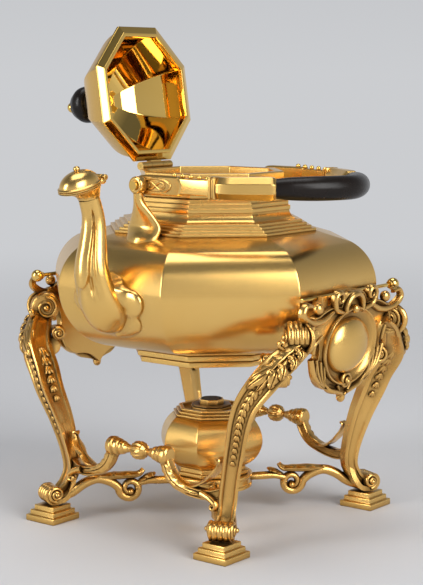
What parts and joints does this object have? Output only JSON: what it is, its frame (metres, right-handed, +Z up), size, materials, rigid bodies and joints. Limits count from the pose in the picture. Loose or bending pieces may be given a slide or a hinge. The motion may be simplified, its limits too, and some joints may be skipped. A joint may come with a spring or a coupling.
{
  "type": "tea kettle on stand",
  "caption": "Eight-sided gilt tea kettle with hinged lid, bail handle and capped spout, pinned in a scroll-legged stand over a spirit lamp.",
  "frame": {"origin": "on the table under the kettle's axis, in the plane of the feet", "axes": "+X the way the spout points, +Y the side on which the bail lies down, +Z up"},
  "size_m": [0.222, 0.2234, 0.2961],
  "materials": {
    "gilt_satin": "satin gilt, finely brushed along the sides",
    "gilt_bright": "brightly polished gilt",
    "gilt_cast": "cast and chased gilt, dark in the hollows",
    "dark_wood": "ebonised wood, waxed",
    "wick": "braided cotton"
  },
  "bodies": {
    "stand": {"leg_front_right": "gilt_cast", "leg_front_left": "gilt_cast", "leg_back_right": "gilt_cast", "leg_back_left": "gilt_cast", "foot_front_right": "gilt_cast", "foot_front_left": "gilt_cast", "foot_back_right": "gilt_cast", "foot_back_left": "gilt_cast", "stretcher_front_right": "gilt_cast", "stretcher_front_left": "gilt_cast", "stretcher_back_right": "gilt_cast", "stretcher_back_left": "gilt_cast", "lamp_arm_front_right": "gilt_cast", "lamp_arm_front_left": "gilt_cast", "lamp_arm_back_right": "gilt_cast", "lamp_arm_back_left": "gilt_cast", "baluster_front": "gilt_cast", "baluster_back": "gilt_cast", "lamp_ring": "gilt_cast", "cartouche_right": "gilt_cast", "cartouche_left": "gilt_cast", "boss_right": "gilt_cast", "boss_left": "gilt_cast"},
    "kettle": {"kettle_body": "gilt_satin", "neck_mouldings": "gilt_satin", "mouth_rim": "gilt_satin", "kettle_foot": "gilt_satin", "spout": "gilt_satin", "spout_base": "gilt_satin", "spout_mouth": "gilt_satin", "handle_lug_front": "gilt_satin", "handle_lug_back": "gilt_satin", "pin_eye_right": "gilt_satin", "pin_eye_left": "gilt_satin", "rim_hinge": "gilt_satin", "lid_hinge_pin": "gilt_bright", "pivot_pins": "gilt_bright", "spout_cap_pin": "gilt_bright"},
    "lid": {"lid_flange": "gilt_bright", "lid_dome": "gilt_bright", "finial_collar": "gilt_satin", "finial_knop": "dark_wood", "finial_tip": "gilt_satin", "finial_nut": "gilt_satin", "lid_knuckle": "gilt_satin"},
    "handle": {"handle_arm_front": "gilt_satin", "handle_arm_back": "gilt_satin", "handle_grip": "dark_wood", "grip_pins": "gilt_bright"},
    "spout_cap": {"spout_cap": "gilt_satin", "spout_cap_knob": "gilt_satin"},
    "pin_right": {"locking_pin_right": "gilt_bright"},
    "pin_left": {"locking_pin_left": "gilt_bright"},
    "lamp": {"lamp_foot": "gilt_satin", "lamp_body": "gilt_satin", "lamp_collar": "gilt_satin"},
    "burner": {"burner": "gilt_bright", "wick": "wick"}
  },
  "joints": [
    {"name": "kettle_lift", "type": "slide", "parent": "stand", "child": "kettle", "axis": [0, 0, 1], "range_m": [0, 0.15]},
    {"name": "lid_hinge", "type": "hinge", "parent": "kettle", "child": "lid", "pos_m": [0, -0.04421, 0.2116], "axis": [1, 0, 0], "range_deg": [-98.6, 0]},
    {"name": "handle_swing", "type": "hinge", "parent": "kettle", "child": "handle", "pos_m": [0, 0, 0.2048], "axis": [1, 0, 0], "range_deg": [0, 100]},
    {"name": "spout_cap_hinge", "type": "hinge", "parent": "kettle", "child": "spout_cap", "pos_m": [0.0997, 0, 0.21102], "axis": [0, -1, 0], "range_deg": [0, 100]},
    {"name": "pin_right_pull", "type": "slide", "parent": "kettle", "child": "pin_right", "axis": [-1, 0, 0], "range_m": [0, 0.06]},
    {"name": "pin_left_pull", "type": "slide", "parent": "kettle", "child": "pin_left", "axis": [1, 0, 0], "range_m": [0, 0.06]},
    {"name": "lamp_lift", "type": "slide", "parent": "stand", "child": "lamp", "axis": [0, 0, 1], "range_m": [0, 0.016]},
    {"name": "burner_lift", "type": "slide", "parent": "lamp", "child": "burner", "axis": [0, 0, 1], "range_m": [0, 0.008]}
  ]
}
